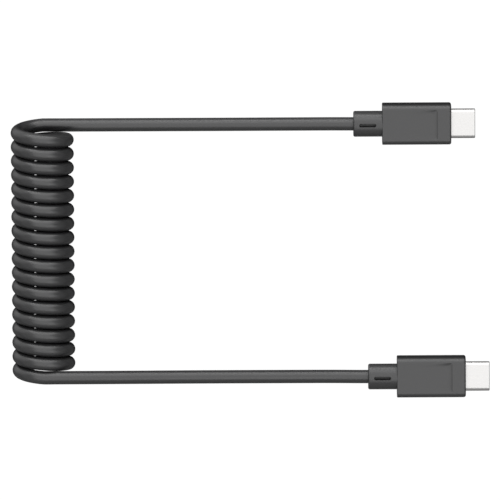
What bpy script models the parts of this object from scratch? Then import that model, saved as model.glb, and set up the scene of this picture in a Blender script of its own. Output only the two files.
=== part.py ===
"""A coiled data cable with a reversible plug on each end, lying on a table.

The frame is +Z up. The origin is on the table, midway between the two plugs. +X is the way that
the plugs point, and +Y runs from plug b to plug a. The sizes below are in millimetres.
"""

import math

import bmesh
import bpy
from mathutils import Matrix, Vector

MM = 0.001

# Cord and coil
CORD_DIAMETER = 3.7
COIL_DIAMETER = 17.4  # over the outside of its turns
COIL_PITCH = 3.908  # from one turn to the next
COIL_TURNS = 17.5
COIL_BEHIND = 104.5  # from the middle of the plugs back to the coil's axis
COIL_ASIDE = 1.18  # from the middle of the plugs to the middle of the coil, along Y
GROOVE_DEPTH = 0.9  # between two turns, on the coil's plain solid
CORD_GAP = 0.3  # between the cord's solids, and between a lead and its collar

# Plugs
PLUG_SPACING = 71.0  # between the centre lines of the two plugs
PLUG_STAGGER = 3.85  # how far plug b reaches past plug a

# Housing and collar, moulded as one piece
HOUSING_LENGTH = 19.06
HOUSING_WIDTH = 11.2
HOUSING_THICKNESS = 6.4
HOUSING_CORNER = 1.5  # radius of the four long edges
HOUSING_RIM = 0.4  # rounding of the front and rear rims
COLLAR_LENGTH = 7.95
COLLAR_WIDTH = 7.15
COLLAR_DROP = 0.05  # from the housing's face down to the collar's crown
COLLAR_RIM = 0.45  # rounding of the collar's rear rim
COLLAR_ROOT = 1.2  # how far the collar's solid runs into the housing
SLOT_LENGTH = 4.6
SLOT_WIDTH = 0.95
SLOT_DEPTH = 2.3

# Metal shell, insulator and contacts
SHELL_WIDTH = 8.25
SHELL_HEIGHT = 2.4
SHELL_WALL = 0.3
SHELL_REACH = 6.6  # out of the housing
SHELL_SEAT = 4.0  # inside the housing
SHELL_RIM = 0.12  # rounding of the tip
PLUG_FIT = 0.1  # clearance round the shell and round the insulator
INSERT_WALL = 0.2
INSERT_SETBACK = 0.25  # behind the shell's tip
MOUTH_DEPTH = 5.2
CONTACT_COUNT = 12
CONTACT_PITCH = 0.5
CONTACT_WIDTH = 0.26
CONTACT_THICKNESS = 0.15
CONTACT_GAP = 0.05  # between a contact row and the insulator
CONTACT_SETBACK = 0.6  # behind the insulator's front
CONTACT_BAR = 0.7  # length of the bar that joins a row at its back

# Facets
CORNER_STEPS = 5  # on a quarter of a rounded corner
RIM_STEPS = 2  # on a rounded rim
SMOOTH_BELOW = 35  # degrees between two faces that are shaded as one
COLLAR_SIDES = 32
COIL_SIDES = 24
TURN_STEP = 20  # degrees between two points of a lead's half turn
LEAD_STEP = 2.0  # diameters between two points of a lead's straight run
ROUTE_READS = 8  # places read between two points of a route, before they are thinned out

COLLAR_THICKNESS = HOUSING_THICKNESS - 2 * COLLAR_DROP
HOUSING_FRONT = COLLAR_LENGTH + HOUSING_LENGTH
PLUG_LENGTH = HOUSING_FRONT + SHELL_REACH
PLUG_HEIGHT = HOUSING_THICKNESS / 2
COIL_RADIUS = (COIL_DIAMETER - CORD_DIAMETER) / 2  # to the middle of the cord
COIL_HEIGHT = COIL_DIAMETER / 2
COIL_REACH = COIL_TURNS * COIL_PITCH / 2  # from the coil's middle to where a lead leaves it

# Where each lead runs from the coil to its plug: x, y and z of the cord's middle
LEAD_A_ROUTE = (
    (-104.5, 35.375, 1.85),
    (-98.9, 35.366, 1.85),
    (-92.9, 35.357, 1.85),
    (-86.9, 35.348, 1.85),
    (-80.9, 35.341, 1.85),
    (-74.9, 35.333, 1.85),
    (-68.9, 35.326, 1.85),
    (-62.9, 35.318, 1.85),
    (-56.9, 35.314, 1.85),
    (-50.9, 35.311, 1.85),
    (-44.9, 35.308, 1.85),
    (-38.9, 35.31, 1.87),
    (-33.9, 35.33, 2.0),
    (-29.4, 35.387, 2.33),
    (-25.4, 35.465, 2.8),
    (-21.9, 35.505, 3.14),
    (-19.1, 35.5, 3.2),
)
LEAD_B_ROUTE = (
    (-104.5, -33.015, 15.55),
    (-100.5, -33.036, 15.47),
    (-96.5, -33.087, 15.22),
    (-92.5, -33.168, 14.81),
    (-88.5, -33.276, 14.24),
    (-82.5, -33.457, 13.25),
    (-76.5, -33.637, 12.27),
    (-70.5, -33.816, 11.28),
    (-64.5, -33.997, 10.3),
    (-58.5, -34.184, 9.31),
    (-52.5, -34.379, 8.33),
    (-46.5, -34.574, 7.34),
    (-40.5, -34.773, 6.36),
    (-34.5, -34.971, 5.37),
    (-28.5, -35.167, 4.39),
    (-24.5, -35.3, 3.79),
    (-20.5, -35.418, 3.39),
    (-17.5, -35.484, 3.23),
    (-15.25, -35.5, 3.2),
)


def clear_scene():
    for thing in list(bpy.data.objects):
        bpy.data.objects.remove(thing, do_unlink=True)


def material(name, colour, roughness, metallic=0.0):
    """A Principled material. The colour is linear red, green and blue."""
    made = bpy.data.materials.new(name)
    made.use_nodes = True
    shader = made.node_tree.nodes["Principled BSDF"]
    shader.inputs["Base Color"].default_value = (*colour, 1.0)
    shader.inputs["Roughness"].default_value = roughness
    shader.inputs["Metallic"].default_value = metallic
    return made


def add_object(name, data, finish=None, parent=None):
    made = bpy.data.objects.new(name, data)
    bpy.context.scene.collection.objects.link(made)
    made.parent = parent
    if finish:
        data.materials.append(finish)
    return made


def mesh_object(name, bm, finish=None, parent=None):
    """Turns a bmesh in millimetres into an object in metres, with its faces pointing out."""
    bmesh.ops.scale(bm, vec=(MM, MM, MM), verts=bm.verts)
    bmesh.ops.recalc_face_normals(bm, faces=bm.faces)
    mesh = bpy.data.meshes.new(name)
    bm.to_mesh(mesh)
    bm.free()
    mesh.shade_smooth()
    mesh.set_sharp_from_angle(angle=math.radians(SMOOTH_BELOW))
    return add_object(name, mesh, finish, parent)


def rounded_outline(width, height, radius):
    """The (y, z) points of a rectangle with round corners, counter-clockwise from the right."""
    points = []
    middles = ((1, 1), (-1, 1), (-1, -1), (1, -1))
    for quarter, (side, end) in enumerate(middles):
        middle_y = side * (width / 2 - radius)
        middle_z = end * (height / 2 - radius)
        for step in range(CORNER_STEPS + 1):
            angle = math.radians(90 * (quarter + step / CORNER_STEPS))
            y = middle_y + radius * math.cos(angle)
            z = middle_z + radius * math.sin(angle)
            points.append((y, z))
    return points


def stadium(width, height):
    """A rectangle whose two short sides are half circles, without doubled points."""
    outline = rounded_outline(width, height, height / 2)
    return [p for i, p in enumerate(outline) if math.dist(p, outline[i - 1]) > height / 1000]


def ellipse(width, height):
    turns = [2 * math.pi * i / COLLAR_SIDES for i in range(COLLAR_SIDES)]
    return [(width / 2 * math.cos(turn), height / 2 * math.sin(turn)) for turn in turns]


def prism(outline, start, end):
    """A bmesh of the (y, z) outline, extruded along X from start to end."""
    bm = bmesh.new()
    face = bm.faces.new([bm.verts.new((start, y, z)) for y, z in outline])
    extruded = bmesh.ops.extrude_face_region(bm, geom=[face])["geom"]
    moved = [item for item in extruded if isinstance(item, bmesh.types.BMVert)]
    bmesh.ops.translate(bm, vec=(end - start, 0, 0), verts=moved)
    return bm


def round_rims(bm, radius, *places):
    """Rounds the edges that lie in the planes x = place."""
    rims = [
        edge
        for edge in bm.edges
        if any(all(abs(vert.co.x - place) < 1e-4 for vert in edge.verts) for place in places)
    ]
    bmesh.ops.bevel(
        bm,
        geom=rims,
        offset=radius,
        segments=RIM_STEPS,
        profile=0.5,
        affect="EDGES",
        material=-1,
        clamp_overlap=True,
    )


def combine(piece, other, operation):
    """Leaves the Boolean on the piece, and the other object as a hidden guide."""
    other.hide_render = True
    other.display_type = "WIRE"
    boolean = piece.modifiers.new(f"{operation.lower()} {other.name}", "BOOLEAN")
    boolean.operation = operation
    boolean.object = other
    boolean.solver = "EXACT"


def slot_cutter(name, side, parent):
    """The blind slot in the collar's crown (side 1) or on its underside (side -1)."""
    crown = side * COLLAR_THICKNESS / 2
    bm = prism(stadium(SLOT_LENGTH, SLOT_WIDTH), crown - side * SLOT_DEPTH, crown + side * SLOT_DEPTH)
    # The prism stands along X, so it is turned to stand along Z with its length along X.
    turn = Matrix(((0, 1, 0), (0, 0, 1), (1, 0, 0)))
    bmesh.ops.rotate(bm, matrix=turn, verts=bm.verts)
    bmesh.ops.translate(bm, vec=(COLLAR_LENGTH / 2, 0, 0), verts=bm.verts)
    return mesh_object(name, bm, parent=parent)


def overmould(name, finish, parent):
    housing = prism(
        rounded_outline(HOUSING_WIDTH, HOUSING_THICKNESS, HOUSING_CORNER), COLLAR_LENGTH, HOUSING_FRONT
    )
    round_rims(housing, HOUSING_RIM, COLLAR_LENGTH, HOUSING_FRONT)
    piece = mesh_object(name, housing, finish, parent)

    collar = prism(ellipse(COLLAR_WIDTH, COLLAR_THICKNESS), 0, COLLAR_LENGTH + COLLAR_ROOT)
    round_rims(collar, COLLAR_RIM, 0)
    combine(piece, mesh_object(f"{name}_collar", collar, parent=parent), "UNION")

    for side in (1, -1):
        combine(piece, slot_cutter(f"{name}_slot_{side}", side, parent), "DIFFERENCE")

    pocket = prism(
        stadium(SHELL_WIDTH + 2 * PLUG_FIT, SHELL_HEIGHT + 2 * PLUG_FIT),
        HOUSING_FRONT - SHELL_SEAT - PLUG_FIT,
        HOUSING_FRONT + SHELL_REACH,
    )
    combine(piece, mesh_object(f"{name}_pocket", pocket, parent=parent), "DIFFERENCE")


def shell(name, finish, parent):
    """The drawn metal tube, open at both ends."""
    back = HOUSING_FRONT - SHELL_SEAT
    tube = prism(stadium(SHELL_WIDTH, SHELL_HEIGHT), back, PLUG_LENGTH)
    round_rims(tube, SHELL_RIM, PLUG_LENGTH)
    piece = mesh_object(name, tube, finish, parent)
    inside = prism(
        stadium(SHELL_WIDTH - 2 * SHELL_WALL, SHELL_HEIGHT - 2 * SHELL_WALL),
        back - SHELL_SEAT,
        PLUG_LENGTH + SHELL_SEAT,
    )
    combine(piece, mesh_object(f"{name}_inside", inside, parent=parent), "DIFFERENCE")


INSERT_WIDTH = SHELL_WIDTH - 2 * SHELL_WALL - 2 * PLUG_FIT
INSERT_HEIGHT = SHELL_HEIGHT - 2 * SHELL_WALL - 2 * PLUG_FIT
INSERT_FRONT = PLUG_LENGTH - INSERT_SETBACK
MOUTH_BACK = PLUG_LENGTH - MOUTH_DEPTH
MOUTH_HEIGHT = INSERT_HEIGHT - 2 * INSERT_WALL


def insert(name, finish, parent):
    """The moulded insulator that lines the shell, with the mouth in its front."""
    bm = prism(stadium(INSERT_WIDTH, INSERT_HEIGHT), HOUSING_FRONT - SHELL_SEAT, INSERT_FRONT)
    piece = mesh_object(name, bm, finish, parent)
    mouth = prism(stadium(INSERT_WIDTH - 2 * INSERT_WALL, MOUTH_HEIGHT), MOUTH_BACK, PLUG_LENGTH)
    combine(piece, mesh_object(f"{name}_mouth", mouth, parent=parent), "DIFFERENCE")


def contact_row(name, side, finish, parent):
    """A row of contacts on the mouth's upper (side 1) or lower (side -1) face, joined at the back."""
    front = INSERT_FRONT - CONTACT_SETBACK
    bar_back = MOUTH_BACK + CONTACT_GAP
    bar_front = bar_back + CONTACT_BAR
    row_width = (CONTACT_COUNT - 1) * CONTACT_PITCH + CONTACT_WIDTH
    outline = [(bar_back, row_width / 2), (bar_back, -row_width / 2)]
    for contact in range(CONTACT_COUNT):
        left = -row_width / 2 + contact * CONTACT_PITCH
        right = left + CONTACT_WIDTH
        outline += [(front, left), (front, right)]
        if contact < CONTACT_COUNT - 1:
            outline += [(bar_front, right), (bar_front, left + CONTACT_PITCH)]

    outer = side * (MOUTH_HEIGHT / 2 - CONTACT_GAP)
    bm = bmesh.new()
    face = bm.faces.new([bm.verts.new((x, y, outer)) for x, y in outline])
    extruded = bmesh.ops.extrude_face_region(bm, geom=[face])["geom"]
    moved = [item for item in extruded if isinstance(item, bmesh.types.BMVert)]
    bmesh.ops.translate(bm, vec=(0, 0, -side * CONTACT_THICKNESS), verts=moved)
    mesh_object(name, bm, finish, parent)


def plug(name, shift, side, finishes):
    """One whole plug. Its own frame starts in the middle of the collar's rear face."""
    start = add_object(name, None)
    start.empty_display_size = HOUSING_LENGTH * MM
    start.location = Vector((shift - PLUG_LENGTH / 2, side * PLUG_SPACING / 2, PLUG_HEIGHT)) * MM
    overmould(f"{name}_overmould", finishes["jacket"], start)
    shell(f"{name}_shell", finishes["steel"], start)
    insert(f"{name}_insert", finishes["insulator"], start)
    contact_row(f"{name}_contacts_top", 1, finishes["gold"], start)
    contact_row(f"{name}_contacts_bottom", -1, finishes["gold"], start)


def coil_end_face():
    """From the coil's middle to the end of its solid, clear of the lead's half turn."""
    return COIL_REACH - COIL_PITCH / 2 - CORD_DIAMETER / 2 - CORD_GAP


def coil(name, finish):
    """The coil as one turned tube with its bore and a round ridge for each turn."""
    end = coil_end_face()
    outer = COIL_DIAMETER / 2
    bore = outer - CORD_DIAMETER
    ridges = max(1, round(2 * end / COIL_PITCH))
    ridge = 2 * end / ridges
    profile = [(bore, -end), (outer - GROOVE_DEPTH, -end)]
    for turn in range(ridges):
        start = -end + turn * ridge
        profile.append((outer - GROOVE_DEPTH / 4, start + ridge / 5))
        profile.append((outer, start + ridge / 2))
        profile.append((outer - GROOVE_DEPTH / 4, start + ridge * 4 / 5))
        profile.append((outer - GROOVE_DEPTH, start + ridge))
    profile.append((bore, end))

    bm = bmesh.new()
    verts = [bm.verts.new((radius, y, 0)) for radius, y in profile]
    edges = [bm.edges.new((verts[i - 1], verts[i])) for i in range(len(verts))]
    bmesh.ops.spin(
        bm,
        geom=verts + edges,
        cent=(0, 0, 0),
        axis=(0, 1, 0),
        angle=2 * math.pi,
        steps=COIL_SIDES,
        use_merge=True,
    )
    piece = mesh_object(name, bm, finish)
    piece.location = Vector((-COIL_BEHIND, COIL_ASIDE, COIL_HEIGHT)) * MM


def turn_point(angle):
    """The cord's middle in the coil, at an angle from where it faces away from the plugs.

    The turns start at -90 degrees, at the table, where lead a comes in.
    """
    turn = math.radians(angle)
    return Vector(
        (
            -COIL_BEHIND - COIL_RADIUS * math.cos(turn),
            COIL_ASIDE + COIL_REACH - COIL_PITCH * (angle + 90) / 360,
            COIL_HEIGHT + COIL_RADIUS * math.sin(turn),
        )
    )


def smooth_point(before, start, end, after, share):
    """A place between start and end, on the smooth curve through all four points."""
    return 0.5 * (
        2 * start
        + (end - before) * share
        + (2 * before - 5 * start + 4 * end - after) * share**2
        + (3 * start - before - 3 * end + after) * share**3
    )


def read_route(route):
    """Points LEAD_STEP diameters apart, on a smooth curve through the route's own points."""
    given = [Vector(point) for point in route]
    given = [2 * given[0] - given[1], *given, 2 * given[-1] - given[-2]]
    fine = []
    for i in range(1, len(given) - 2):
        for part in range(ROUTE_READS):
            fine.append(smooth_point(*given[i - 1 : i + 3], part / ROUTE_READS))
    fine.append(given[-2])
    lengths = [0.0]
    for i in range(1, len(fine)):
        lengths.append(lengths[-1] + (fine[i] - fine[i - 1]).length)
    stretches = max(1, round(lengths[-1] / (LEAD_STEP * CORD_DIAMETER)))
    read = []
    for stretch in range(stretches + 1):
        place = lengths[-1] * stretch / stretches
        i = min(range(len(fine)), key=lambda n: abs(lengths[n] - place))
        read.append(fine[i])
    return read


def lead(name, angles, route, finish):
    """The half turn that ends the coil, and the lead from there to its plug, as one tube."""
    points = [turn_point(angle) for angle in angles] + read_route(route)
    data = bpy.data.curves.new(name, "CURVE")
    data.dimensions = "3D"
    data.bevel_depth = CORD_DIAMETER / 2 * MM
    data.bevel_resolution = 2
    data.use_fill_caps = True
    spline = data.splines.new("POLY")
    spline.points.add(len(points) - 1)
    for made, point in zip(spline.points, points):
        made.co = (*(point * MM), 1.0)
    add_object(name, data, finish)


def build():
    clear_scene()
    finishes = {
        "jacket": material("black_soft_plastic", (0.011, 0.011, 0.011), 0.4),
        "steel": material("bright_steel", (0.45, 0.45, 0.44), 0.3, 1.0),
        "insulator": material("black_insulator", (0.012, 0.012, 0.012), 0.5),
        "gold": material("gold_plate", (0.80, 0.55, 0.22), 0.25, 1.0),
    }
    plug("plug_a", -PLUG_STAGGER / 2, 1, finishes)
    plug("plug_b", PLUG_STAGGER / 2, -1, finishes)
    coil("cord_coil", finishes["jacket"])
    first_turn = range(90, -90, -TURN_STEP)
    last_angle = round(360 * COIL_TURNS) - 90
    last_turn = range(last_angle - 180, last_angle, TURN_STEP)
    lead("cord_lead_a", first_turn, LEAD_A_ROUTE, finishes["jacket"])
    lead("cord_lead_b", last_turn, LEAD_B_ROUTE, finishes["jacket"])


build()
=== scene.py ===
# %% [markdown]
# # A coiled data cable and its two plugs
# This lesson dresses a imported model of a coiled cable. The model already holds every piece at its
# real size, so nothing here moves or resizes the object. It gets finer shapes and real finishes:
# one long tube for the cord, two moulded plug bodies, and the metal and contacts inside them.
# The object lies on a table: +Z is up, +X is the way the plugs point, and the coil lies along Y.

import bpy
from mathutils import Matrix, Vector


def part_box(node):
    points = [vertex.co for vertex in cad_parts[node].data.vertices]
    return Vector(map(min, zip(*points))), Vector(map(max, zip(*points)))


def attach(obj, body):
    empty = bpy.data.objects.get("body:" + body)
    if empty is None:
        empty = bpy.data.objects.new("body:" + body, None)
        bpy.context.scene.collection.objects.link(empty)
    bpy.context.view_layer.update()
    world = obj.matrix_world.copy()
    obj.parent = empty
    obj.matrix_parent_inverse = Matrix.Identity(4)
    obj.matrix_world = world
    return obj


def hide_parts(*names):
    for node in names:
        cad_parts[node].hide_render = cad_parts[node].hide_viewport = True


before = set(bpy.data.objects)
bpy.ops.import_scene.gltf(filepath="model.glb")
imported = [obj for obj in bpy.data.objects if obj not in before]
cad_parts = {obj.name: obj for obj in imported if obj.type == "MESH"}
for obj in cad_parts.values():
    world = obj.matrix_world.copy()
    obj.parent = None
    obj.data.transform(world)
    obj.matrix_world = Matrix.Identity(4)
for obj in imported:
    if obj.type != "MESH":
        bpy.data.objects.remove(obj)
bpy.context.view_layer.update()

# %% [markdown]
# ## Units and small helpers
# Blender works in metres, and a plug is easier to describe in millimetres. Every piece below is
# therefore modelled in millimetres round its own plug's start. Its object could then be moved and
# scaled into place, but a pattern on Object coordinates would be moved and scaled with it. So
# `finish_piece` moves and scales the mesh itself, and the finished object sits at the origin.

# %% Units and helpers
import math

import bmesh
import bpy
from mathutils import Matrix, Vector

MM = 0.001
SMOOTH_BELOW = math.radians(32)  # two faces that meet at less than this are shaded as one


def finish_piece(name, bm, finish, nodes, start=Vector()):
    """Makes an object of a bmesh in millimetres, at its place in metres, and ties it to the model."""
    mesh = bpy.data.meshes.new(name)
    bm.to_mesh(mesh)
    bm.free()
    mesh.transform(Matrix.Translation(start) @ Matrix.Scale(MM, 4))
    mesh.shade_smooth()
    mesh.set_sharp_from_angle(angle=SMOOTH_BELOW)
    piece = bpy.data.objects.new(name, mesh)
    bpy.context.scene.collection.objects.link(piece)
    flat_faces_stay_flat = piece.modifiers.new("weighted_normals", "WEIGHTED_NORMAL")
    flat_faces_stay_flat.keep_sharp = True
    mesh.materials.append(finish)
    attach(piece, "root")
    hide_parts(*nodes)
    print(f"{name}: {len(mesh.polygons)} faces, stands for {', '.join(nodes)}")


# %% [markdown]
# ## The camera
# The picture looks almost straight down on the table, from a little towards the end of the coil
# that lies at the top of the picture. Its lines hardly converge, so the lens is very long and
# stands far away. A camera without any perspective would look nearly the same, but a long lens is
# what a real camera has. The picture is also turned a third of a degree anticlockwise.

# %% Camera
CAMERA_TILT = math.radians(10.3)  # off the vertical, towards +Y
CAMERA_ROLL = math.radians(0.3)
CAMERA_AIM = Vector((-47.4, 0.6, 5.0)) * MM  # what the middle of the picture looks at
PICTURE_WIDTH = 138.1 * MM  # how much of the table the picture spans
LENS = 1000.0
SENSOR = 36.0
NEAREST_SEEN = 0.1  # in metres, as the next
FARTHEST_SEEN = 20.0

camera_distance = PICTURE_WIDTH * LENS / SENSOR
camera_data = bpy.data.cameras.new("camera")
camera_data.lens = LENS
camera_data.sensor_width = SENSOR
camera_data.clip_start = NEAREST_SEEN
camera_data.clip_end = FARTHEST_SEEN
camera = bpy.data.objects.new("camera", camera_data)
bpy.context.scene.collection.objects.link(camera)
turned = Matrix.Rotation(-CAMERA_TILT, 4, "X") @ Matrix.Rotation(-CAMERA_ROLL, 4, "Z")
camera.matrix_world = (
    Matrix.Translation(CAMERA_AIM) @ turned @ Matrix.Translation((0, 0, camera_distance))
)
bpy.context.scene.camera = camera
print(f"the camera stands {camera_distance:.2f} m away")

# %% [markdown]
# ## The cord's route
# The cord is one piece of jacketed cable, 3.7 mm thick. From plug a it runs along the table to the
# coil's near end, winds round 17.5 times and leaves the coil at its top. From there it slopes down
# evenly to plug b, as the cord is too stiff to sag over so short a way. Blender can screw a circle
# into a coil, but the leads would then have to be joined on. So the whole cord is one list of
# points: the two straight stretches are listed one by one, the same as in the imported model, and
# the coil between them is a helix worked out by a loop.

# %% Route of the cord
CORD_DIAMETER = 3.7
COIL_MIDDLE = Vector((-104.5, 1.18, 8.7))
COIL_RADIUS = 6.85  # to the middle of the cord
COIL_PITCH = 3.908
COIL_TURNS = 17.5
COIL_START = -90  # degrees round the coil, where 0 faces away from the plugs and 90 is its top
POINTS_A_TURN = 48
ROUTE_READS = 5  # places read between two points of a route
PLUG_ENTRY = 1.1  # how far the cord runs into each plug

# A point before each lead's first, which gives its curve the direction to leave the coil in
BEFORE_LEAD_A = Vector((-110.1, 35.2, 1.85))
BEFORE_LEAD_B = Vector((-108.1, -32.8, 15.55))
# x, y and z of the cord's middle in millimetres, from the coil to plug a
LEAD_A_ROUTE = (
    (-104.5, 35.375, 1.85),
    (-98.9, 35.366, 1.85),
    (-92.9, 35.357, 1.85),
    (-86.9, 35.348, 1.85),
    (-80.9, 35.341, 1.85),
    (-74.9, 35.333, 1.85),
    (-68.9, 35.326, 1.85),
    (-62.9, 35.318, 1.85),
    (-56.9, 35.314, 1.85),
    (-50.9, 35.311, 1.85),
    (-44.9, 35.308, 1.85),
    (-38.9, 35.31, 1.87),
    (-33.9, 35.33, 2.0),
    (-29.4, 35.387, 2.33),
    (-25.4, 35.465, 2.8),
    (-21.9, 35.505, 3.14),
    (-19.1, 35.5, 3.2),
)
# The same from the coil to plug b
LEAD_B_ROUTE = (
    (-104.5, -33.015, 15.55),
    (-100.5, -33.036, 15.47),
    (-96.5, -33.087, 15.22),
    (-92.5, -33.168, 14.81),
    (-88.5, -33.276, 14.24),
    (-82.5, -33.457, 13.25),
    (-76.5, -33.637, 12.27),
    (-70.5, -33.816, 11.28),
    (-64.5, -33.997, 10.3),
    (-58.5, -34.184, 9.31),
    (-52.5, -34.379, 8.33),
    (-46.5, -34.574, 7.34),
    (-40.5, -34.773, 6.36),
    (-34.5, -34.971, 5.37),
    (-28.5, -35.167, 4.39),
    (-24.5, -35.3, 3.79),
    (-20.5, -35.418, 3.39),
    (-17.5, -35.484, 3.23),
    (-15.25, -35.5, 3.2),
)


def coil_point(angle):
    """The cord's middle in the coil, at an angle in degrees from where it faces away."""
    turn = math.radians(angle)
    advance = COIL_PITCH * (angle - COIL_START) / 360
    out = Vector((-math.cos(turn), 0, math.sin(turn))) * COIL_RADIUS
    return COIL_MIDDLE + out + Vector((0, COIL_TURNS * COIL_PITCH / 2 - advance, 0))


def smooth_point(before, start, end, after, share):
    """A place between start and end, on the smooth curve through all four points."""
    return 0.5 * (
        2 * start
        + (end - before) * share
        + (2 * before - 5 * start + 4 * end - after) * share**2
        + (3 * start - before - 3 * end + after) * share**3
    )


def read_route(before, route):
    """The route from the coil to just inside its plug, as points on one smooth curve."""
    given = [before] + [Vector(point) for point in route]
    inside = given[-1] + Vector((PLUG_ENTRY, 0, 0))
    given += [inside, inside + Vector((PLUG_ENTRY, 0, 0))]
    read = []
    for i in range(1, len(given) - 2):
        for part in range(ROUTE_READS):
            read.append(smooth_point(*given[i - 1 : i + 3], part / ROUTE_READS))
    read.append(inside)
    return read


# The coil's first and last points are the first points of the two leads, so the loop leaves them out
step = 360 / POINTS_A_TURN
steps = round(COIL_TURNS * POINTS_A_TURN)
coil_points = [coil_point(COIL_START + step * i) for i in range(1, steps)]
lead_a = read_route(BEFORE_LEAD_A, LEAD_A_ROUTE)
lead_b = read_route(BEFORE_LEAD_B, LEAD_B_ROUTE)
cord_points = [point * MM for point in [*reversed(lead_a), *coil_points, *lead_b]]
run = sum((end - start).length for start, end in zip(cord_points, cord_points[1:]))
print(f"the cord runs through {len(cord_points)} points and is {run:.3f} m long")

# %% [markdown]
# ## One function for shader nodes
# Every finish below is a small node tree. This function adds one node, sets its settings and
# inputs, and links it. An input's name starts with a capital letter or is its number, and a
# setting's doesn't.

# %% Node helper
def add_node(tree, kind, settings=None, links=None):
    """Adds a node, its settings and input values, and its links as (source node, output)."""
    made = tree.nodes.new(kind)
    for name, value in (settings or {}).items():
        if isinstance(name, int) or name[0].isupper():
            made.inputs[name].default_value = value
        else:
            setattr(made, name, value)
    for name, (source, output) in (links or {}).items():
        tree.links.new(source.outputs[output], made.inputs[name])
    return made


def from_hex(code):
    """An sRGB hex colour as the linear colour that a shader takes."""
    parts = [int(code[i : i + 2], 16) / 255 for i in (1, 3, 5)]
    linear = [p / 12.92 if p <= 0.04045 else ((p + 0.055) / 1.055) ** 2.4 for p in parts]
    return (*linear, 1.0)


def per_metre(size):
    """The texture scale at which one cell of a pattern is this many millimetres across."""
    return 1 / (size * MM)


def new_finish(name):
    """A material with an emptied tree, its Principled shader and its output."""
    finish = bpy.data.materials.new(name)
    finish.use_nodes = True
    tree = finish.node_tree
    tree.nodes.clear()
    shader = add_node(tree, "ShaderNodeBsdfPrincipled")
    add_node(tree, "ShaderNodeOutputMaterial", links={"Surface": (shader, "BSDF")})
    return finish, tree, shader


# %% [markdown]
# ## The jacket: extruded thermoplastic elastomer
# The cord's jacket is black TPE, pushed through a round die. That leaves a soft satin skin with no
# direction to it: a fine pebble, and slow changes in how dull it is. The plastic itself is nearly
# black, as carbon black makes it. The greys that the eye sees on it are the room, mirrored in the
# satin skin. The pebble could be real relief in the mesh, but it is far too fine for that, so one
# noise texture bends the light for it, and a second, slower one changes the dullness.

# %% Jacket finish
JACKET_PEBBLE = 0.25  # the real one is under 0.1 mm, too fine to show, so it is drawn coarser
JACKET_PEBBLE_HEIGHT = 0.02
JACKET_CLOUD = 7.0
ELASTOMER_IOR = 1.58
# A noise texture runs from 0 to 1, but hardly leaves this middle part
NOISE_SPREAD = {"From Min": 0.3, "From Max": 0.7}

jacket, tree, shader = new_finish("extruded_tpe_jacket")
place = add_node(tree, "ShaderNodeTexCoord")
pebble = add_node(
    tree,
    "ShaderNodeTexNoise",
    {"Scale": per_metre(JACKET_PEBBLE), "Detail": 3.0, "Roughness": 0.6},
    {"Vector": (place, "Object")},
)
raised = add_node(
    tree,
    "ShaderNodeBump",
    {"Strength": 0.35, "Distance": JACKET_PEBBLE_HEIGHT * MM},
    {"Height": (pebble, "Fac")},
)
cloud = add_node(
    tree,
    "ShaderNodeTexNoise",
    {"Scale": per_metre(JACKET_CLOUD), "Detail": 2.0},
    {"Vector": (place, "Object")},
)
dullness = add_node(
    tree,
    "ShaderNodeMapRange",
    {**NOISE_SPREAD, "To Min": 0.31, "To Max": 0.37},
    {"Value": (cloud, "Fac")},
)
shade = add_node(
    tree,
    "ShaderNodeMix",
    {"data_type": "RGBA", 6: from_hex("#1a1a1b"), 7: from_hex("#1e1e1f")},
    {0: (cloud, "Fac")},
)
shader.inputs["IOR"].default_value = ELASTOMER_IOR
tree.links.new(shade.outputs[2], shader.inputs["Base Color"])
tree.links.new(dullness.outputs["Result"], shader.inputs["Roughness"])
tree.links.new(raised.outputs["Normal"], shader.inputs["Normal"])
print("jacket finish:", len(tree.nodes), "nodes")

# %% [markdown]
# ## The cord as one tube
# The real cord is the same all along: a round jacket 3.7 mm across. A circle could be swept along
# the route ring by ring, but a curve with a round bevel does that by itself. It is then turned
# into a mesh, so that it is a plain skin like every other piece.

# %% Cord
BEVEL_RESOLUTION = 10  # gives the tube 24 sides
CAP_SHARP_FROM = math.radians(60)  # only the rims of its two flat ends meet at more than this

line = bpy.data.curves.new("cord_line", "CURVE")
line.dimensions = "3D"
line.bevel_depth = CORD_DIAMETER / 2 * MM
line.bevel_resolution = BEVEL_RESOLUTION
line.use_fill_caps = True
spline = line.splines.new("POLY")
spline.points.add(len(cord_points) - 1)
for made, point in zip(spline.points, cord_points):
    made.co = (*point, 1.0)
guide = bpy.data.objects.new("cord_line", line)
bpy.context.scene.collection.objects.link(guide)
bpy.context.view_layer.update()
ready = guide.evaluated_get(bpy.context.evaluated_depsgraph_get())
cord_mesh = bpy.data.meshes.new_from_object(ready)
bpy.data.objects.remove(guide)

cord_mesh.shade_smooth()
cord_mesh.set_sharp_from_angle(angle=CAP_SHARP_FROM)
cord_mesh.materials.clear()
cord_mesh.materials.append(jacket)
cord = bpy.data.objects.new("cord", cord_mesh)
bpy.context.scene.collection.objects.link(cord)
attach(cord, "root")
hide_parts("cord_lead_a", "cord_coil", "cord_lead_b")
print("cord:", len(cord_mesh.polygons), "faces")

# %% [markdown]
# ## Rings and skins
# The plug's pieces are all long and have one cross-section that changes along them. The simplest
# way to make such a shape is a row of rings with a skin over them. A ring starts as a circle. For a
# rectangle with round corners its four quarters are pulled apart, and for an ellipse it is scaled.
# All rings have as many points, so the skin is a clean grid of four-sided faces. A cube with
# bevelled edges could give the housing, but not the ellipse, the round ends and the holes, and one
# way for all of them keeps the rims alike.

# %% Ring and skin helpers
RING_SIDES = 64
RIM_STEPS = 4
ACROSS_X = Matrix(((0, 0, 1, 0), (1, 0, 0, 0), (0, 1, 0, 0), (0, 0, 0, 1)))  # Z becomes X


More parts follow.
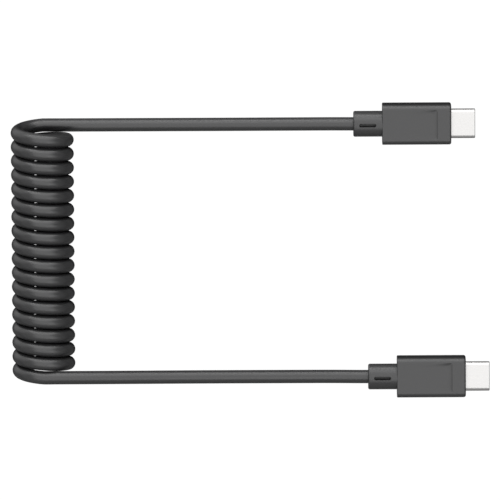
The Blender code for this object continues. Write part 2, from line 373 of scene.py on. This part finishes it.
def add_ring(bm, x, width, height, corner):
    """A ring across X. Where its corner's radius is None it is an ellipse."""
    # Turned by half a side, the circle has no point on an axis, so its quarters are equal
    turn = Matrix.Rotation(math.pi / RING_SIDES, 4, "Z")
    matrix = Matrix.Translation((x, 0, 0)) @ ACROSS_X @ turn
    radius = corner or 1.0
    ring = bmesh.ops.create_circle(bm, segments=RING_SIDES, radius=radius, matrix=matrix)["verts"]
    if corner is None:
        bmesh.ops.scale(bm, vec=(1, width / 2, height / 2), verts=ring)
        return ring
    for vert in ring:
        vert.co.y += math.copysign(width / 2 - corner, vert.co.y)
        vert.co.z += math.copysign(height / 2 - corner, vert.co.z)
    return ring


def rounded_end(face, side, size, radius, grow=-1):
    """Rings from a piece's wall to its face at x = face, rounded by the radius.

    side is 1 for a face that looks along +X. grow is -1 for an outer edge, and 1 for the
    mouth of a hole, which widens towards the face.
    """
    width, height, corner = size
    rings = []
    for step in range(RIM_STEPS + 1):
        turn = math.pi / 2 * step / RIM_STEPS
        x = face - side * radius * (1 - math.sin(turn))
        out = grow * radius * (1 - math.cos(turn))
        rings.append((x, width + 2 * out, height + 2 * out, corner and corner + out))
    return rings


def skin(rings, joined=False):
    """A bmesh over a row of rings. Its ends are capped, or joined to each other."""
    bm = bmesh.new()
    made = [add_ring(bm, *ring) for ring in rings]
    pairs = list(zip(made, made[1:]))
    if joined:
        pairs.append((made[-1], made[0]))
    for first, second in pairs:
        edges = []
        for ring in (first, second):
            members = set(ring)
            edges += [e for v in ring for e in v.link_edges if e.other_vert(v) in members]
        bmesh.ops.bridge_loops(bm, edges=list(dict.fromkeys(edges)))
    if not joined:
        bm.faces.new(made[0])
        bm.faces.new(made[-1])
    bmesh.ops.recalc_face_normals(bm, faces=bm.faces)
    return bm


# %% [markdown]
# ## Sizes of a plug
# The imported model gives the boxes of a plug's body and shell, and the other sizes are measured on
# the picture or are what such a plug has. A plug's own frame starts in the middle of its collar's
# rear face. A piece's size is its width, its height and its corner's radius, or None for an
# ellipse.

# %% Plug sizes
COLLAR_LENGTH = 7.95
COLLAR_SIZE = (7.15, 6.3, None)
COLLAR_RIM = 0.45
COLLAR_ROOT = 1.2  # how far the collar's own skin runs into the housing
CORD_HOLE = 4.0
CORD_HOLE_DEPTH = 1.4
HOUSING_CORNER = 1.5
FRONT_RIM = 0.6
REAR_RIM = 0.25
POCKET_FIT = 0.1  # between the shell and the pocket that it sits in
POCKET_LIP = 0.1
SLOT_LENGTH = 4.6
SLOT_WIDTH = 0.95
SLOT_DEPTH = 2.3
MOULDED_LIP = 0.12  # the round edge of the slot and of the cord's hole


def span(node):
    """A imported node's lowest corner and its sides, both in millimetres."""
    low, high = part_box(node)
    return low / MM, (high - low) / MM


def plug_start(plug):
    """Where the plug's own frame starts, in metres."""
    low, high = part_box(f"{plug}_overmould")
    return Vector((low.x, (low.y + high.y) / 2, (low.z + high.z) / 2))


body_low, body_sides = span("plug_a_overmould")
shell_low, shell_sides = span("plug_a_shell")
HOUSING_SIZE = (body_sides.y, body_sides.z, HOUSING_CORNER)
HOUSING_FRONT = body_sides.x
SHELL_SIZE = (shell_sides.y, shell_sides.z, shell_sides.z / 2)
SHELL_BACK = shell_low.x - body_low.x
SHELL_TIP = SHELL_BACK + shell_sides.x
print("housing", [round(side, 2) for side in HOUSING_SIZE], "front at", round(HOUSING_FRONT, 2))
print("shell", [round(side, 2) for side in SHELL_SIZE], "tip at", round(SHELL_TIP, 2))

# %% [markdown]
# ## The overmould: housing and collar in one
# The black body is one moulding: a slim housing with round long edges, and a nearly round collar
# that relieves the cord where it comes in. The collar's crown is nearly flush with the housing's
# face, so the two skins can't simply be stacked. Each is made closed and a Boolean joins them, and
# Booleans also cut the slot in the collar's crown and the thumb recess in the housing's face. All
# of it could be modelled into one grid of faces, but that would have to be bent round every hole.

# %% Shapes of the overmould
UPRIGHT = Matrix(((0, 1, 0), (0, 0, 1), (1, 0, 0)))  # stands a skin made along X up along Z
ABOVE = 1.0  # how far a cutter stands out of the surface
PANEL_WIDTH = 5.8  # of the recess's floor, as the next
PANEL_LENGTH = 10.0
PANEL_FROM_FRONT = 5.08
PANEL_DEPTH = 0.3  # at its front edge, fading out to nothing at its back
PANEL_CORNER = 0.5
PANEL_STEEPEST = math.radians(25)  # how steep its curved edge is where it meets the face
PANEL_STEPS = 5


def grown(size, by):
    """A size that is larger by this much all round, or smaller where it is negative."""
    width, height, corner = size
    return (width + 2 * by, height + 2 * by, corner and corner + by)


def housing_skin():
    """The housing with its rounded ends, and the pocket in its front that the shell sits in."""
    pocket = grown(SHELL_SIZE, POCKET_FIT)
    rings = [
        *reversed(rounded_end(COLLAR_LENGTH, -1, HOUSING_SIZE, REAR_RIM)),
        *rounded_end(HOUSING_FRONT, 1, HOUSING_SIZE, FRONT_RIM),
        *reversed(rounded_end(HOUSING_FRONT, 1, pocket, POCKET_LIP, grow=1)),
        (SHELL_BACK - POCKET_FIT, *pocket),
    ]
    return skin(rings)


def collar_skin():
    """The collar, with the hole in its rear face that the cord goes into."""
    hole = (CORD_HOLE, CORD_HOLE, None)
    rings = [
        (CORD_HOLE_DEPTH, *hole),
        *rounded_end(0, -1, hole, MOULDED_LIP, grow=1),
        *reversed(rounded_end(0, -1, COLLAR_SIZE, COLLAR_RIM)),
        (COLLAR_LENGTH + COLLAR_ROOT, *COLLAR_SIZE),
    ]
    return skin(rings)


def slot_skin():
    """The slot's hollow, with a lip that widens towards the crown."""
    crown = COLLAR_SIZE[1] / 2
    size = (SLOT_LENGTH, SLOT_WIDTH, SLOT_WIDTH / 2)
    lip = rounded_end(crown, 1, size, MOULDED_LIP, grow=1)
    top = grown(size, MOULDED_LIP)
    bm = skin([(crown - SLOT_DEPTH, *size), *lip, (crown + ABOVE, *top)])
    bmesh.ops.rotate(bm, matrix=UPRIGHT, verts=bm.verts)
    bmesh.ops.translate(bm, vec=(COLLAR_LENGTH / 2, 0, 0), verts=bm.verts)
    return bm


def panel_skin():
    """The thumb recess's hollow: a tilted floor whose edges curve up to the housing's face."""
    radius = PANEL_DEPTH / (1 - math.cos(PANEL_STEEPEST))
    turns = [PANEL_STEEPEST * step / PANEL_STEPS for step in range(PANEL_STEPS + 1)]
    edge = [(radius * (1 - math.cos(turn)), radius * math.sin(turn)) for turn in turns]
    straight_on = ABOVE / math.tan(PANEL_STEEPEST)
    edge.append((PANEL_DEPTH + ABOVE, edge[-1][1] + straight_on))
    rings = [
        (height, PANEL_LENGTH + 2 * out, PANEL_WIDTH + 2 * out, PANEL_CORNER)
        for height, out in edge
    ]
    bm = skin(rings)
    bmesh.ops.rotate(bm, matrix=UPRIGHT, verts=bm.verts)
    # Its front edge is moved to the start, so that the tilt leaves that edge where it is
    bmesh.ops.translate(bm, vec=(-PANEL_LENGTH / 2, 0, 0), verts=bm.verts)
    tilt = Matrix.Rotation(math.atan(PANEL_DEPTH / PANEL_LENGTH), 3, "Y")
    bmesh.ops.rotate(bm, matrix=tilt, verts=bm.verts)
    front = HOUSING_FRONT - PANEL_FROM_FRONT
    face = HOUSING_SIZE[1] / 2
    bmesh.ops.translate(bm, vec=(front, 0, face - PANEL_DEPTH), verts=bm.verts)
    return bm


print(f"slot {SLOT_LENGTH} x {SLOT_WIDTH} mm, recess {PANEL_LENGTH} x {PANEL_WIDTH} mm")

# %% [markdown]
# ## Joining and cutting the overmould
# A Boolean needs objects, so each shape becomes a plain object for a moment. The Booleans could
# stay on the piece as modifiers, but then all their cutters would stay too. Here each is applied at
# once. The underside has the same slot and recess as the top, because such a plug is the same both
# ways up.

# %% Join and cut the overmould
def as_object(name, bm):
    """A plain object of a bmesh, without a finish."""
    mesh = bpy.data.meshes.new(name)
    bm.to_mesh(mesh)
    bm.free()
    made = bpy.data.objects.new(name, mesh)
    bpy.context.scene.collection.objects.link(made)
    return made


def combine(piece, bm, operation):
    """Joins or cuts the piece with a shape, and applies it at once."""
    tool = as_object("tool", bm)
    boolean = piece.modifiers.new("boolean", "BOOLEAN")
    boolean.operation = operation
    boolean.solver = "EXACT"
    boolean.object = tool
    bpy.context.view_layer.update()
    ready = piece.evaluated_get(bpy.context.evaluated_depsgraph_get())
    made = bpy.data.meshes.new_from_object(ready)
    piece.modifiers.clear()
    piece.data = made
    bpy.data.objects.remove(tool)


def underside(bm):
    """Turns a cutter for the top over, to cut the underside."""
    bmesh.ops.rotate(bm, matrix=Matrix.Rotation(math.pi, 3, "X"), verts=bm.verts)
    return bm


blank = as_object("blank", housing_skin())
combine(blank, collar_skin(), "UNION")
combine(blank, slot_skin(), "DIFFERENCE")
combine(blank, underside(slot_skin()), "DIFFERENCE")
combine(blank, panel_skin(), "DIFFERENCE")
combine(blank, underside(panel_skin()), "DIFFERENCE")
overmould_mesh = blank.data
bpy.data.objects.remove(blank)
print("overmould:", len(overmould_mesh.polygons), "faces")

# %% [markdown]
# ## The overmould's finish: moulded elastomer with a fine spark-eroded grain
# The mould's inside was eroded by sparks, which prints a fine even grain on the plastic and makes
# it satin. The two halves of the mould met at mid-height, and left a thin parting line there. The
# line could be a ridge in the mesh, but at a tenth of a millimetre a bump does: it is highest at
# mid-height and gone a little above and below.

# %% Overmould finish
MOULD_GRAIN = 0.18  # the real one is about 0.05 mm, too fine to show, so it is drawn coarser
GRAIN_SHARE = 0.4  # the grain's height, where the parting line's is 1
MOULD_RELIEF = 0.03  # the height of the parting line
PARTING_WIDTH = 0.09  # from the middle of the line to either side

overmould, tree, shader = new_finish("moulded_satin_elastomer")
place = add_node(tree, "ShaderNodeTexCoord")
grain = add_node(
    tree,
    "ShaderNodeTexNoise",
    {"Scale": per_metre(MOULD_GRAIN), "Detail": 2.0, "Roughness": 0.5},
    {"Vector": (place, "Object")},
)
height = add_node(tree, "ShaderNodeSeparateXYZ", links={"Vector": (place, "Object")})
from_middle = add_node(
    tree,
    "ShaderNodeMath",
    {"operation": "SUBTRACT", 1: plug_start("plug_a").z},
    {0: (height, "Z")},
)
apart = add_node(tree, "ShaderNodeMath", {"operation": "ABSOLUTE"}, {0: (from_middle, "Value")})
parting = add_node(
    tree,
    "ShaderNodeMapRange",
    {"From Min": 0.0, "From Max": PARTING_WIDTH * MM, "To Min": 1.0, "To Max": 0.0},
    {"Value": (apart, "Value")},
)
relief = add_node(
    tree,
    "ShaderNodeMath",
    {"operation": "MULTIPLY_ADD", 1: GRAIN_SHARE},
    {0: (grain, "Fac"), 2: (parting, "Result")},
)
raised = add_node(
    tree,
    "ShaderNodeBump",
    {"Strength": 0.3, "Distance": MOULD_RELIEF * MM},
    {"Height": (relief, "Value")},
)
dullness = add_node(
    tree,
    "ShaderNodeMapRange",
    {**NOISE_SPREAD, "To Min": 0.33, "To Max": 0.39},
    {"Value": (grain, "Fac")},
)
shader.inputs["Base Color"].default_value = from_hex("#1c1c1d")
shader.inputs["IOR"].default_value = ELASTOMER_IOR
tree.links.new(dullness.outputs["Result"], shader.inputs["Roughness"])
tree.links.new(raised.outputs["Normal"], shader.inputs["Normal"])
print("overmould finish:", len(tree.nodes), "nodes")

# %% [markdown]
# ## The metal shell
# The shell is a flat tube with full round ends, drawn from thin stainless steel and rolled in a
# little at its tip, so that it finds the port. A single surface with a Solidify modifier would give
# the wall, but the tip is rounded more outside than inside. So the skin runs out along the outside,
# over the tip and back along the inside, and is joined to its own start.

# %% Shell
SHELL_WALL = 0.3
SHELL_RIM = 0.24
SHELL_INNER_RIM = 0.05


def shell_skin():
    """The shell's wall, with both its sides."""
    inside = grown(SHELL_SIZE, -SHELL_WALL)
    rings = [
        (SHELL_BACK, *SHELL_SIZE),
        *rounded_end(SHELL_TIP, 1, SHELL_SIZE, SHELL_RIM),
        *reversed(rounded_end(SHELL_TIP, 1, inside, SHELL_INNER_RIM, grow=1)),
        (SHELL_BACK, *inside),
    ]
    return skin(rings, joined=True)


print(f"the shell is {SHELL_TIP - SHELL_BACK:.2f} mm long, with a wall of {SHELL_WALL} mm")

# %% [markdown]
# ## The shell's finish: drawn steel, nickel plated
# Drawing scores fine lines along the tube, and the nickel over them is bright and slightly warm. To
# the eye that is a soft sheen, a little drawn out along the tube. The shader's own anisotropy could
# draw it out, but a noise stretched along X does it too and also shows the lines close up.

# %% Steel finish
DRAWN_ACROSS = 0.08  # real lines are a few hundredths of a millimetre, drawn coarser here to show
DRAWN_ALONG = 3.0
DRAWN_DEPTH = 0.004

steel, tree, shader = new_finish("nickel_plated_drawn_steel")
place = add_node(tree, "ShaderNodeTexCoord")
stretched = add_node(
    tree,
    "ShaderNodeMapping",
    {"Scale": (per_metre(DRAWN_ALONG), per_metre(DRAWN_ACROSS), per_metre(DRAWN_ACROSS))},
    {"Vector": (place, "Object")},
)
draw_lines = add_node(
    tree,
    "ShaderNodeTexNoise",
    {"Scale": 1.0, "Detail": 3.0},
    {"Vector": (stretched, "Vector")},
)
raised = add_node(
    tree,
    "ShaderNodeBump",
    {"Strength": 0.2, "Distance": DRAWN_DEPTH * MM},
    {"Height": (draw_lines, "Fac")},
)
dullness = add_node(
    tree,
    "ShaderNodeMapRange",
    {**NOISE_SPREAD, "To Min": 0.25, "To Max": 0.35},
    {"Value": (draw_lines, "Fac")},
)
shader.inputs["Base Color"].default_value = from_hex("#b5b4b3")
shader.inputs["Metallic"].default_value = 1.0
tree.links.new(dullness.outputs["Result"], shader.inputs["Roughness"])
tree.links.new(raised.outputs["Normal"], shader.inputs["Normal"])
print("steel finish:", len(tree.nodes), "nodes")

# %% [markdown]
# ## The insulator
# Inside the shell sits a black moulding with the mouth that takes the port's tongue. The mouth
# could be cut by a Boolean. But it has the same round ends as the outside, so one skin can run
# along the outside, over the front and down into the mouth.

# %% Insulator
INSERT_FIT = 0.1  # between the insulator and the shell round it
INSERT_SETBACK = 0.25  # behind the shell's tip
INSERT_RIM = 0.07
INSERT_WALL = 0.2
MOUTH_DEPTH = 5.2  # from the shell's tip

INSERT_SIZE = grown(SHELL_SIZE, -SHELL_WALL - INSERT_FIT)
MOUTH_SIZE = grown(INSERT_SIZE, -INSERT_WALL)
INSERT_FRONT = SHELL_TIP - INSERT_SETBACK
MOUTH_BACK = SHELL_TIP - MOUTH_DEPTH


def insulator_skin():
    """The insulator with its mouth."""
    rings = [
        (SHELL_BACK, *INSERT_SIZE),
        *rounded_end(INSERT_FRONT, 1, INSERT_SIZE, INSERT_RIM),
        *reversed(rounded_end(INSERT_FRONT, 1, MOUTH_SIZE, INSERT_RIM, grow=1)),
        (MOUTH_BACK, *MOUTH_SIZE),
    ]
    return skin(rings)


print("mouth", [round(side, 2) for side in MOUTH_SIZE], "its back at", round(MOUTH_BACK, 2))

# %% [markdown]
# ## The insulator's finish: glass-filled moulding
# The plastic is filled with glass fibres, to stand the heat of soldering. That leaves its skin dull
# and faintly speckled, where fibres lie near it. One noise gives both: it bends the light a little,
# and mixes two near blacks.

# %% Insulator finish
SPECKLE = 0.12  # real fibres are a hundredth of a millimetre across, drawn coarser here to show
SPECKLE_HEIGHT = 0.01

insulator, tree, shader = new_finish("glass_filled_moulding")
place = add_node(tree, "ShaderNodeTexCoord")
speckle = add_node(
    tree,
    "ShaderNodeTexNoise",
    {"Scale": per_metre(SPECKLE), "Detail": 2.0},
    {"Vector": (place, "Object")},
)
raised = add_node(
    tree,
    "ShaderNodeBump",
    {"Strength": 0.3, "Distance": SPECKLE_HEIGHT * MM},
    {"Height": (speckle, "Fac")},
)
shade = add_node(
    tree,
    "ShaderNodeMix",
    {"data_type": "RGBA", 6: from_hex("#18181a"), 7: from_hex("#232325")},
    {0: (speckle, "Fac")},
)
shader.inputs["Roughness"].default_value = 0.5
shader.inputs["IOR"].default_value = 1.6
tree.links.new(shade.outputs[2], shader.inputs["Base Color"])
tree.links.new(raised.outputs["Normal"], shader.inputs["Normal"])
print("insulator finish:", len(tree.nodes), "nodes")

# %% [markdown]
# ## The contacts
# Each row has twelve leaf springs, pressed from a thin strip of copper alloy. A spring runs along
# the mouth's wall and bows towards its middle near the front, where it presses on the port's
# tongue. A bent cuboid would do from outside, but it would need its bends worked into each side. So
# a spring starts as a bent line of points, which is pulled sideways into a strip and thickened.

# %% Contact springs
CONTACT_COUNT = 12
CONTACT_PITCH = 0.5
CONTACT_WIDTH = 0.26
CONTACT_THICKNESS = 0.12
CONTACT_SETBACK = 0.6  # behind the insulator's front
CONTACT_GAP = 0.02  # from the mouth's back
# Along the spring from the mouth's back: share of its length, and distance from the mouth's wall
SPRING_LINE = (
    (0.0, 0.06),
    (0.35, 0.07),
    (0.55, 0.10),
    (0.70, 0.17),
    (0.80, 0.225),
    (0.86, 0.235),
    (0.92, 0.21),
    (1.0, 0.13),
)


def add_spring(bm, side, middle):
    """One spring on the mouth's upper (side 1) or lower (side -1) wall."""
    wall = MOUTH_SIZE[1] / 2
    back = MOUTH_BACK + CONTACT_GAP
    reach = INSERT_FRONT - CONTACT_SETBACK - back
    verts = []
    for along, off in SPRING_LINE:
        place = (back + along * reach, middle - CONTACT_WIDTH / 2, side * (wall - off))
        verts.append(bm.verts.new(place))
    edges = [bm.edges.new(pair) for pair in zip(verts, verts[1:])]
    pulled = bmesh.ops.extrude_edge_only(bm, edges=edges)["geom"]
    moved = [item for item in pulled if isinstance(item, bmesh.types.BMVert)]
    faces = [item for item in pulled if isinstance(item, bmesh.types.BMFace)]
    bmesh.ops.translate(bm, vec=(0, CONTACT_WIDTH, 0), verts=moved)
    strip = faces + [e for f in faces for e in f.edges] + [v for f in faces for v in f.verts]
    bmesh.ops.recalc_face_normals(bm, faces=faces)
    bmesh.ops.solidify(bm, geom=list(dict.fromkeys(strip)), thickness=CONTACT_THICKNESS)


def springs(side):
    """A whole row of springs."""
    bm = bmesh.new()
    for i in range(CONTACT_COUNT):
        add_spring(bm, side, (i - (CONTACT_COUNT - 1) / 2) * CONTACT_PITCH)
    bmesh.ops.recalc_face_normals(bm, faces=bm.faces)
    return bm


print(CONTACT_COUNT, "springs a row, each", CONTACT_WIDTH, "mm wide")

# %% [markdown]
# ## The springs' finish: a flash of gold on nickel
# The copper alloy is plated with nickel and a very thin layer of gold. It looks warm and bright, and
# slightly duller in patches where the plating lies unevenly. A flat gold would do at this size, but
# a slow noise in its dullness keeps the twelve from looking like copies.

# %% Gold finish
GOLD_PATCH = 0.4

gold, tree, shader = new_finish("gold_flash_on_nickel")
place = add_node(tree, "ShaderNodeTexCoord")
patches = add_node(
    tree,
    "ShaderNodeTexNoise",
    {"Scale": per_metre(GOLD_PATCH), "Detail": 2.0},
    {"Vector": (place, "Object")},
)
dullness = add_node(
    tree,
    "ShaderNodeMapRange",
    {**NOISE_SPREAD, "To Min": 0.2, "To Max": 0.32},
    {"Value": (patches, "Fac")},
)
shader.inputs["Base Color"].default_value = from_hex("#e8c272")
shader.inputs["Metallic"].default_value = 1.0
tree.links.new(dullness.outputs["Result"], shader.inputs["Roughness"])
print("gold finish:", len(tree.nodes), "nodes")

# %% [markdown]
# ## Both plugs
# The two plugs are the same, so one loop makes each of their pieces at its own place. Plug b could
# be a moved copy of plug a, but its objects have to sit at the origin too.

# %% Make the plugs
for plug in ("plug_a", "plug_b"):
    start = plug_start(plug)
    body = bmesh.new()
    body.from_mesh(overmould_mesh)
    finish_piece(f"{plug}_body", body, overmould, [f"{plug}_overmould"], start)
    finish_piece(f"{plug}_tube", shell_skin(), steel, [f"{plug}_shell"], start)
    finish_piece(
        f"{plug}_insulator", insulator_skin(), insulator, [f"{plug}_insert"], start
    )
    for side, row in ((1, "top"), (-1, "bottom")):
        node = f"{plug}_contacts_{row}"
        finish_piece(f"{plug}_springs_{row}", springs(side), gold, [node], start)

# %% [markdown]
# ## The table
# The object lies on plain white, which shows no shadow to speak of. Lit by the soft boxes alone,
# the table would be grey round the object. So it glows by itself, and the shadows wash out. The
# light that it throws back on the object is part of the room, below, so the table itself neither
# lights nor mirrors.

# %% Table
TABLE_SIDE = 12.0  # in metres, so that no view reaches its edge
TABLE_GLOW = 0.97  # a little under white, and the lights add the rest

white, tree, shader = new_finish("white_table")
shader.inputs["Base Color"].default_value = from_hex("#404040")
shader.inputs["Roughness"].default_value = 0.9
shader.inputs["Specular IOR Level"].default_value = 0.0
shader.inputs["Emission Color"].default_value = (1.0, 1.0, 1.0, 1.0)
shader.inputs["Emission Strength"].default_value = TABLE_GLOW
bm = bmesh.new()
bmesh.ops.create_grid(bm, x_segments=1, y_segments=1, size=TABLE_SIDE / 2)
table = as_object("table", bm)
table.data.materials.append(white)
table.visible_glossy = False
table.visible_diffuse = False
table.visible_shadow = False
print("the table is", TABLE_SIDE, "m wide")

# %% [markdown]
# ## Light
# Black satin plastic shows little but what it mirrors, so the light is what draws the shape. A
# large soft box hangs overhead, and two long ones stand behind the top of the picture, one high
# and one low: they draw the bright line along each lead. A small one lifts the right side. A picture
# of a studio could light the scene as well, but soft boxes are easier to place and to turn down.

# %% Lights
LIGHT_DISTANCE = 1.0  # in metres, from the middle of the picture


def soft_box(name, down, around, width, height, power):
    """A rectangular light that faces the object.

    down is its angle from straight above in degrees, and around is the way it then lies: 0 is +X,
    the picture's right, and 90 is +Y, its top.
    """
    data = bpy.data.lights.new(name, "AREA")
    data.shape = "RECTANGLE"
    data.size = height
    data.size_y = width
    data.energy = power
    light = bpy.data.objects.new(name, data)
    above = Matrix.Translation((0, 0, LIGHT_DISTANCE))
    aside = Matrix.Rotation(math.radians(down), 4, "Y")
    turned = Matrix.Rotation(math.radians(around), 4, "Z")
    light.matrix_world = Matrix.Translation(CAMERA_AIM) @ turned @ aside @ above
    light.visible_camera = False
    bpy.context.scene.collection.objects.link(light)
    print(f"{name}: {width} x {height} m, {power} W")


soft_box("overhead", down=0, around=90, width=1.5, height=1.5, power=9.8)
soft_box("back_high", down=52, around=90, width=1.4, height=0.5, power=5.2)
soft_box("back_low", down=80, around=90, width=1.4, height=0.3, power=5.1)
soft_box("right", down=40, around=330, width=0.6, height=0.6, power=1.0)

# %% [markdown]
# ## The room
# The room fills in what the soft boxes leave. Above the horizon it is walls and ceiling. Below it
# is the white table, dimmer, and dark straight below, where the object stands in its own shadow.
# Both are brighter at the left than at the right. At the back left the table mirrors the soft
# boxes and glows: that draws a pale line along the left side of every turn. More soft boxes could
# do all this, but a world whose brightness changes with the direction has no edges to be mirrored.
# The camera itself sees plain white in its place.

# %% Room
CEILING_LIGHT = 0.65
TABLE_LIGHT = 0.3
HORIZON = {"From Min": -0.05, "From Max": 0.05}  # a direction's height, where -1 is straight down
SHADE_BELOW = {"From Min": -0.9, "From Max": -0.7}  # from full shade to none, as heights too
LEFT_SHARE = 1.1
RIGHT_SHARE = 0.7
GLOW_LIGHT = 0.85
GLOW_AROUND = math.radians(135)
GLOW_HEIGHT = -0.3
GLOW_EDGE = 0.6  # the cosine of the angle from its middle at which it ends

world = bpy.data.worlds.new("room")
world.use_nodes = True
tree = world.node_tree
tree.nodes.clear()
direction = add_node(tree, "ShaderNodeTexCoord")
way = add_node(tree, "ShaderNodeSeparateXYZ", links={"Vector": (direction, "Generated")})
halves = add_node(
    tree,
    "ShaderNodeMapRange",
    {**HORIZON, "To Min": TABLE_LIGHT, "To Max": CEILING_LIGHT},
    {"Value": (way, "Z")},
)
beside = add_node(
    tree,
    "ShaderNodeMapRange",
    {**SHADE_BELOW, "To Min": 0.0, "To Max": 1.0},
    {"Value": (way, "Z")},
)
share = add_node(
    tree,
    "ShaderNodeMapRange",
    {"From Min": -1.0, "From Max": 1.0, "To Min": LEFT_SHARE, "To Max": RIGHT_SHARE},
    {"Value": (way, "X")},
)
around = add_node(
    tree, "ShaderNodeMath", {"operation": "MULTIPLY"}, {0: (halves, "Result"), 1: (share, "Result")}
)
flat = math.sqrt(1 - GLOW_HEIGHT**2)
glow_middle = (flat * math.cos(GLOW_AROUND), flat * math.sin(GLOW_AROUND), GLOW_HEIGHT)
closeness = add_node(
    tree,
    "ShaderNodeVectorMath",
    {"operation": "DOT_PRODUCT", 1: glow_middle},
    {0: (direction, "Generated")},
)
glow = add_node(
    tree,
    "ShaderNodeMapRange",
    {
        "interpolation_type": "SMOOTHSTEP",
        "From Min": GLOW_EDGE,
        "From Max": 1.0,
        "To Min": 0.0,
        "To Max": GLOW_LIGHT,
    },
    {"Value": (closeness, "Value")},
)
strength = add_node(
    tree,
    "ShaderNodeMath",
    {"operation": "MULTIPLY_ADD"},
    {0: (around, "Value"), 1: (beside, "Result"), 2: (glow, "Result")},
)
seen = add_node(tree, "ShaderNodeLightPath")
room = add_node(
    tree, "ShaderNodeBackground", {"Color": (1, 1, 1, 1)}, {"Strength": (strength, "Value")}
)
pale = add_node(tree, "ShaderNodeBackground", {"Color": (1, 1, 1, 1), "Strength": 1.0})
either = add_node(
    tree,
    "ShaderNodeMixShader",
    links={0: (seen, "Is Camera Ray"), 1: (room, "Background"), 2: (pale, "Background")},
)
add_node(tree, "ShaderNodeOutputWorld", links={"Surface": (either, "Shader")})
bpy.context.scene.world = world
bpy.context.scene.view_settings.view_transform = "Standard"
print("room:", len(tree.nodes), "nodes")
